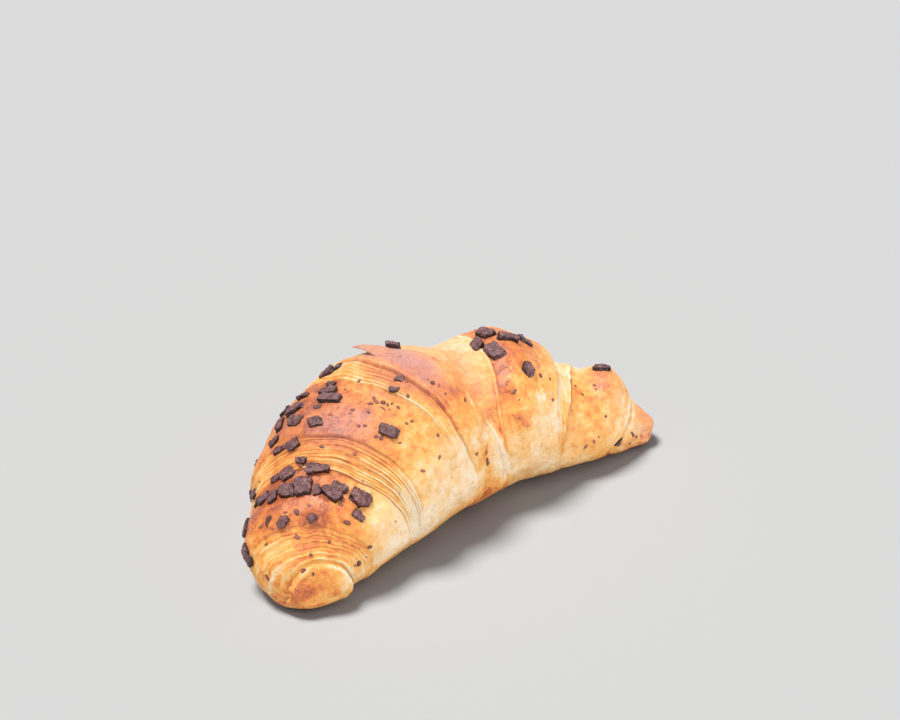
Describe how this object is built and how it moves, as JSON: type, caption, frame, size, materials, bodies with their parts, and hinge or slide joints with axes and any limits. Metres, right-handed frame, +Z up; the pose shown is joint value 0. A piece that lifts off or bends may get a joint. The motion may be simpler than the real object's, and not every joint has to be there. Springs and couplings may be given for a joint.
{
  "type": "chocolate croissant",
  "caption": "Crescent croissant of rolled laminated dough, baked golden brown, with dark chocolate chunks baked onto its crust.",
  "frame": {"origin": "middle of the footprint, on the surface that the croissant rests on", "axes": "+Z up; the tips lie along X, the hollow side of the crescent faces -Y"},
  "size_m": [0.1744, 0.074, 0.0581],
  "materials": {
    "crust": "egg-washed baked crust: satin golden brown on the crowns, matt cream where the dough layers show",
    "chocolate": "dull satin dark chocolate, finely pitted"
  },
  "bodies": {
    "root": {"croissant": "crust", "chocolate_chunk_01": "chocolate", "chocolate_chunk_02": "chocolate", "chocolate_chunk_03": "chocolate", "chocolate_chunk_04": "chocolate", "chocolate_chunk_05": "chocolate", "chocolate_chunk_06": "chocolate", "chocolate_chunk_07": "chocolate", "chocolate_chunk_08": "chocolate", "chocolate_chunk_09": "chocolate", "chocolate_chunk_10": "chocolate", "chocolate_chunk_11": "chocolate", "chocolate_chunk_12": "chocolate", "chocolate_chunk_13": "chocolate", "chocolate_chunk_14": "chocolate", "chocolate_chunk_15": "chocolate", "chocolate_chunk_16": "chocolate", "chocolate_chunk_17": "chocolate", "chocolate_chunk_18": "chocolate", "chocolate_chunk_19": "chocolate", "chocolate_chunk_20": "chocolate", "chocolate_chunk_21": "chocolate", "chocolate_chunk_22": "chocolate", "chocolate_chunk_23": "chocolate", "chocolate_chunk_24": "chocolate", "chocolate_chunk_25": "chocolate", "chocolate_chunk_26": "chocolate", "chocolate_chunk_27": "chocolate", "chocolate_chunk_28": "chocolate", "chocolate_chunk_29": "chocolate", "chocolate_chunk_30": "chocolate", "chocolate_chunk_31": "chocolate", "chocolate_chunk_32": "chocolate", "chocolate_chunk_33": "chocolate", "chocolate_chunk_34": "chocolate", "chocolate_chunk_35": "chocolate", "chocolate_chunk_36": "chocolate", "chocolate_chunk_37": "chocolate", "chocolate_chunk_38": "chocolate", "chocolate_chunk_39": "chocolate", "chocolate_chunk_40": "chocolate", "chocolate_chunk_41": "chocolate", "chocolate_chunk_42": "chocolate", "chocolate_chunk_43": "chocolate", "chocolate_chunk_44": "chocolate", "chocolate_chunk_45": "chocolate", "chocolate_chunk_46": "chocolate", "chocolate_chunk_47": "chocolate", "chocolate_chunk_48": "chocolate", "chocolate_chunk_49": "chocolate", "chocolate_chunk_50": "chocolate", "chocolate_chunk_51": "chocolate", "chocolate_chunk_52": "chocolate", "chocolate_chunk_53": "chocolate", "chocolate_chunk_54": "chocolate", "chocolate_chunk_55": "chocolate", "chocolate_chunk_56": "chocolate", "chocolate_chunk_57": "chocolate", "chocolate_chunk_58": "chocolate"}
  },
  "joints": []
}
